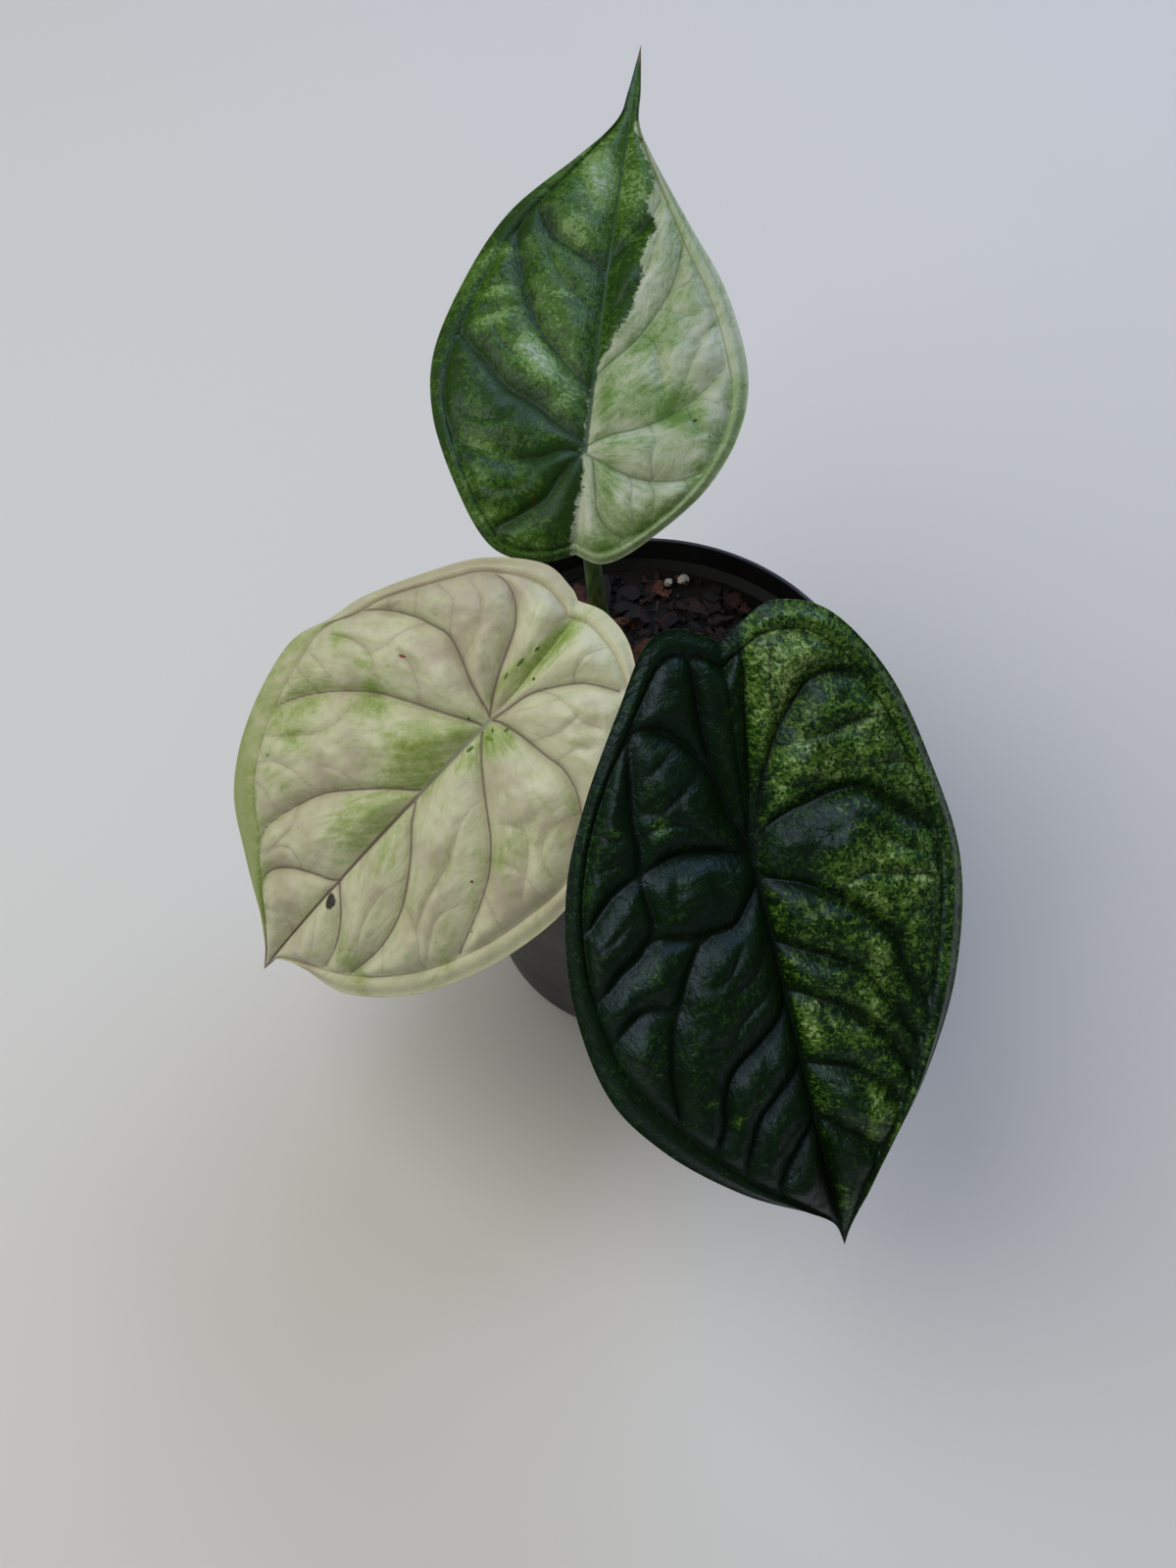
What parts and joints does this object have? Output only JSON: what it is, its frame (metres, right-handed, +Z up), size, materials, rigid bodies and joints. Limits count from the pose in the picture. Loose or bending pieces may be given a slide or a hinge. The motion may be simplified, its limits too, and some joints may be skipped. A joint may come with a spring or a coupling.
{
  "type": "potted variegated aegis alocasia",
  "caption": "Small potted aroid with shield-shaped, quilted, cream and green variegated leaves on slender stalks, standing in a bark mix in a round nursery pot.",
  "frame": {"origin": "middle of the pot's flat base, on the surface it stands on", "axes": "+Z up; +Y the way the back leaf's tip points, away from the picture's viewer; +X to the viewer's right"},
  "size_m": [0.1447, 0.2309, 0.1751],
  "materials": {
    "pot_plastic": "moulded black polypropylene with a soft sheen",
    "bark_soil": "damp dark bark chips, coir and a few white perlite bits",
    "corm": "dull brown corm and pale roots",
    "petiole": "smooth olive-green stalk with a waxy sheen",
    "leaf_cream": "cream leaf with soft green flushes and grey-purple veins, satin",
    "leaf_half_cream": "leaf marbled green on one half and cream on the other, satin",
    "leaf_dark_green": "glossy dark green leaf, marbled light green and cream"
  },
  "bodies": {
    "root": {"pot": "pot_plastic", "soil": "bark_soil", "corm_and_roots": "corm", "petiole_left": "petiole", "petiole_back": "petiole", "petiole_right": "petiole", "leaf_left": "leaf_cream", "leaf_back": "leaf_half_cream", "leaf_right": "leaf_dark_green"}
  },
  "joints": []
}
